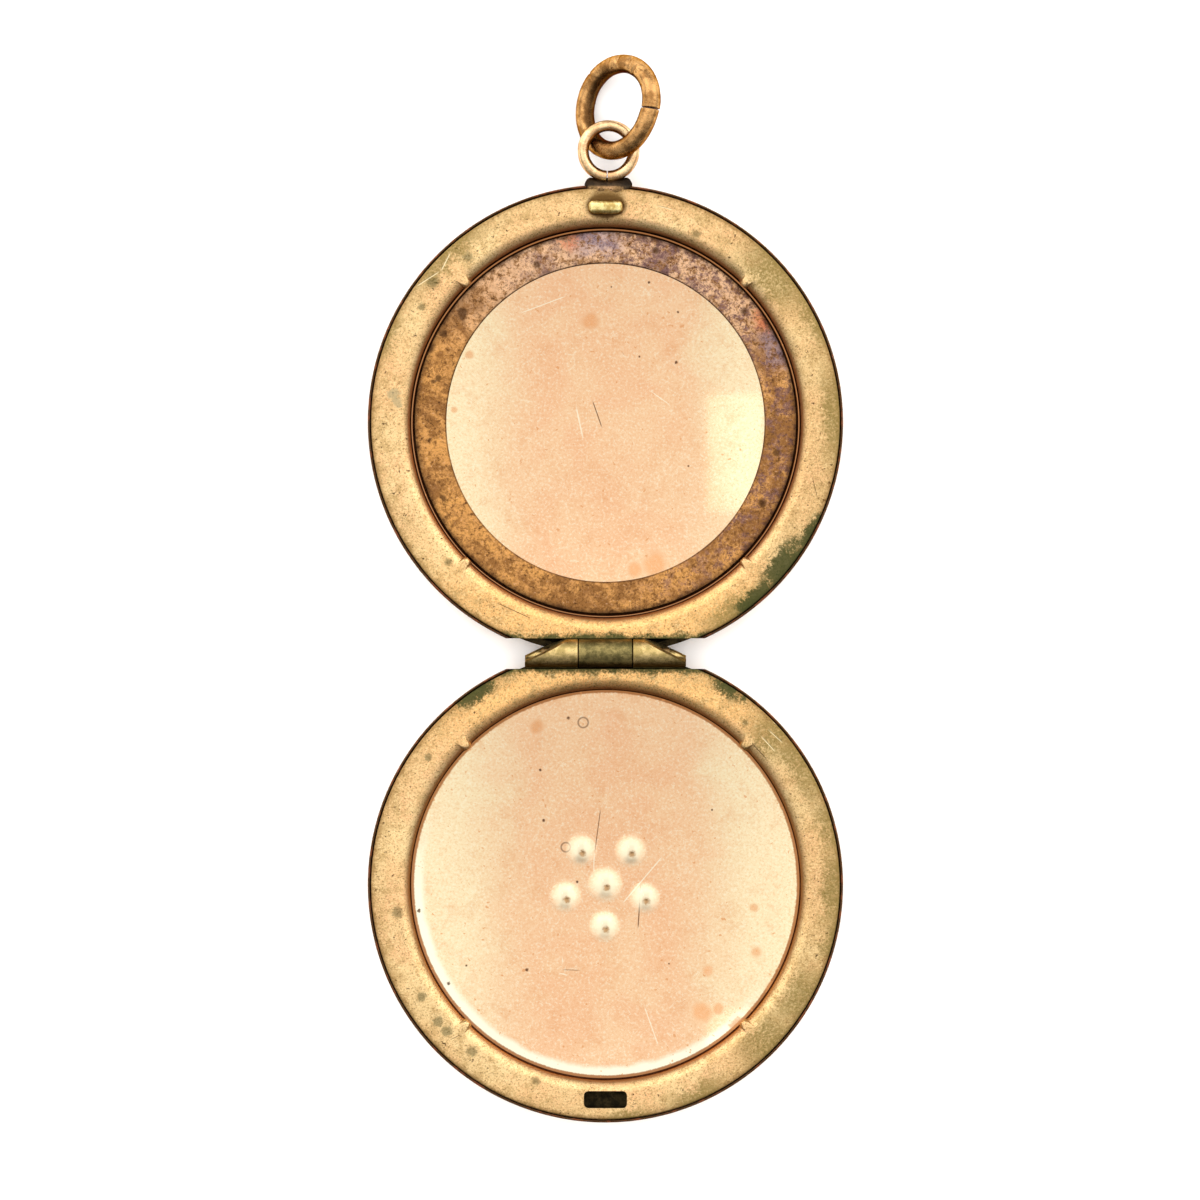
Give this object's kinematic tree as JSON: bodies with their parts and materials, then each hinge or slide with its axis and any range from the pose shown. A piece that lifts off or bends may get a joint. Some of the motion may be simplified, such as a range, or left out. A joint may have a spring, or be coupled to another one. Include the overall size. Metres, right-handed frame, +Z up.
{
  "type": "locket",
  "caption": "Round hinged gold-toned locket, lying open flat, with a picture well in each half, a lift-out picture ring, a snap catch, and a bail with a jump ring for a chain.",
  "frame": {"origin": "middle of the footprint of the open locket, on the table that its two domed covers rest on", "axes": "+Z up out of the open wells, +Y from the hinge to the bail, +X along the hinge axis, to the right when the bail points away"},
  "size_m": [0.032, 0.0719, 0.0053],
  "materials": {
    "cover_gold": "worn rose-gold sheet, glossy inside and satin outside",
    "rim_gold": "aged gold sheet with fine speckle and green-brown tarnish",
    "tarnished_gold": "tarnished gold, brown, purple and orange",
    "hinge_brass": "aged olive brass with verdigris at the joints",
    "pin_brass": "dark drawn wire",
    "bail_gold": "worn rose gold with dark solder seams",
    "ring_gold": "worn brown-gold wire, brighter along its wear lines",
    "paste_glass": "clear cut paste stone"
  },
  "bodies": {
    "back_case": {"back_cover": "cover_gold", "back_liner": "rim_gold", "catch_tongue": "rim_gold", "back_knuckle": "hinge_brass", "back_hinge_bearer": "hinge_brass", "hinge_pin": "pin_brass", "bail_base": "bail_gold", "bail_eye": "bail_gold"},
    "front_case": {"front_cover": "cover_gold", "front_liner": "rim_gold", "front_knuckle_left": "hinge_brass", "front_knuckle_right": "hinge_brass", "front_hinge_bearer_left": "hinge_brass", "front_hinge_bearer_right": "hinge_brass", "paste_stone_centre": "paste_glass", "paste_stone_1": "paste_glass", "paste_stone_2": "paste_glass", "paste_stone_3": "paste_glass", "paste_stone_4": "paste_glass", "paste_stone_5": "paste_glass"},
    "picture_frame": {"picture_ring": "tarnished_gold"},
    "chain_link": {"jump_ring": "ring_gold"}
  },
  "joints": [
    {"name": "cover_hinge", "type": "hinge", "parent": "back_case", "child": "front_case", "pos_m": [0, -0.00428, 0.0029], "axis": [-1, 0, 0], "range_deg": [0, 180]},
    {"name": "picture_ring_lift", "type": "slide", "parent": "back_case", "child": "picture_frame", "axis": [0, 0, 1], "range_m": [0, 0.0022]},
    {"name": "jump_ring_flop", "type": "hinge", "parent": "back_case", "child": "chain_link", "pos_m": [0.00084, 0.03247, 0.00266], "axis": [-0.23, -0.9732, 0], "range_deg": [0, 95]}
  ]
}
